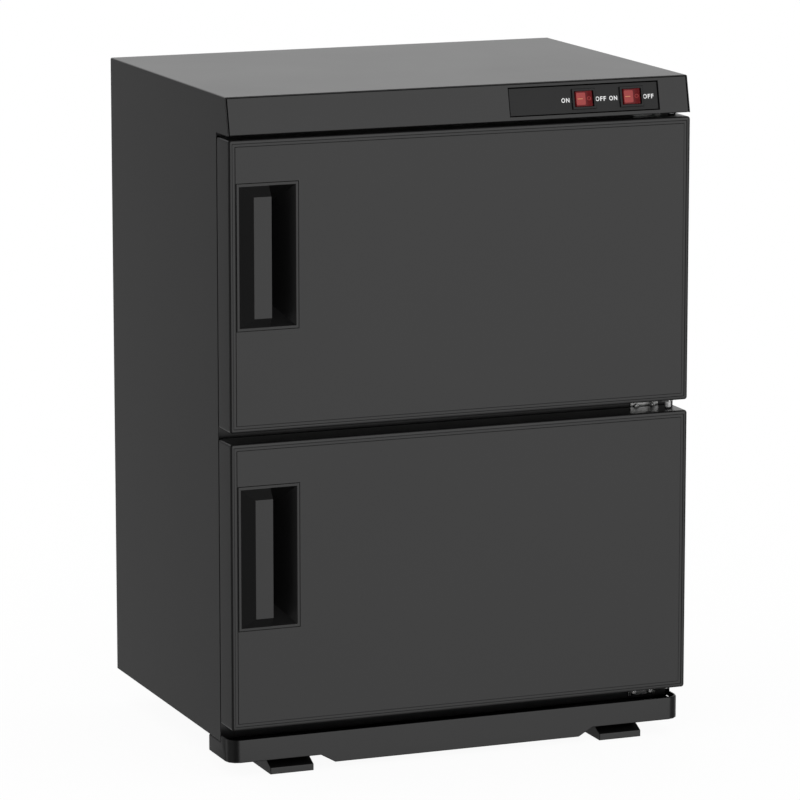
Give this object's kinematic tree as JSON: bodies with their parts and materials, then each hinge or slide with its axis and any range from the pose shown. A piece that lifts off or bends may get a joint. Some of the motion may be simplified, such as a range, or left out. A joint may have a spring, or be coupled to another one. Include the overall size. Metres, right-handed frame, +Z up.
{
  "type": "towel warmer",
  "caption": "Counter-top towel warmer: black steel cabinet with stacked heated chambers, hinged doors with recessed grips, rocker switches on a raked fascia and a pull-out drip tray.",
  "frame": {"origin": "on the floor, below the middle of the whole object's bounding box", "axes": "+X to the right as seen from the doors, +Y to the back, +Z up"},
  "size_m": [0.45, 0.3362, 0.6225],
  "materials": {
    "coat": "satin black powder coat",
    "moulding": "fine-grained black moulding",
    "dark_moulding": "smooth black moulding",
    "steel": "zinc-plated",
    "rack": "plated wire",
    "chamber": "mill finish",
    "gasket": "grey silicone",
    "gland": "black rubber",
    "nylon": "natural nylon",
    "terminal": "off-white moulding",
    "magnet": "dark ferrite",
    "red_rocker": "gloss red"
  },
  "bodies": {
    "cabinet": {"outer_casing": "coat", "rear_panel": "coat", "bottom_plate": "coat", "front_frame": "coat", "cord_gland": "gland", "terminal_block": "terminal", "control_fascia": "coat", "switch_plate": "dark_moulding", "upper_chamber_liner": "chamber", "lower_chamber_liner": "chamber", "upper_wire_rack": "rack", "lower_wire_rack": "rack", "upper_heater": "chamber", "lower_heater": "chamber", "upper_thermostat": "terminal", "lower_thermostat": "terminal", "left_switch_housing": "dark_moulding", "right_switch_housing": "dark_moulding", "top_hinge_bracket": "steel", "middle_hinge_bracket": "steel", "bottom_hinge_bracket": "steel", "top_hinge_pin": "steel", "middle_hinge_pin": "steel", "bottom_hinge_pin": "steel", "front_left_foot": "moulding", "front_right_foot": "moulding", "rear_left_foot": "moulding", "rear_right_foot": "moulding"},
    "upper_door": {"upper_door_panel": "moulding", "upper_door_inner_panel": "moulding", "upper_door_gasket": "gasket", "upper_door_handle": "moulding", "upper_door_magnet": "magnet", "upper_door_top_bush": "nylon", "upper_door_bottom_bush": "nylon"},
    "lower_door": {"lower_door_panel": "moulding", "lower_door_inner_panel": "moulding", "lower_door_gasket": "gasket", "lower_door_handle": "moulding", "lower_door_magnet": "magnet", "lower_door_top_bush": "nylon", "lower_door_bottom_bush": "nylon"},
    "left_switch": {"left_rocker": "red_rocker"},
    "right_switch": {"right_rocker": "red_rocker"},
    "tray": {"drip_tray": "moulding"}
  },
  "joints": [
    {"name": "upper_door_swing", "type": "hinge", "parent": "cabinet", "child": "upper_door", "pos_m": [0.2124, -0.14555, 0.45293], "axis": [0, 0, 1], "range_deg": [0, 110]},
    {"name": "lower_door_swing", "type": "hinge", "parent": "cabinet", "child": "lower_door", "pos_m": [0.2124, -0.14555, 0.17858], "axis": [0, 0, 1], "range_deg": [0, 110]},
    {"name": "left_rocker_tip", "type": "hinge", "parent": "cabinet", "child": "left_switch", "pos_m": [0.1202, -0.15264, 0.60474], "axis": [0, 0.2276, 0.9738], "range_deg": [0, 16]},
    {"name": "right_rocker_tip", "type": "hinge", "parent": "cabinet", "child": "right_switch", "pos_m": [0.1677, -0.15264, 0.60474], "axis": [0, 0.2276, 0.9738], "range_deg": [0, 16]},
    {"name": "drip_tray_slide", "type": "slide", "parent": "cabinet", "child": "tray", "axis": [0, -1, 0], "range_m": [0, 0.06]}
  ]
}
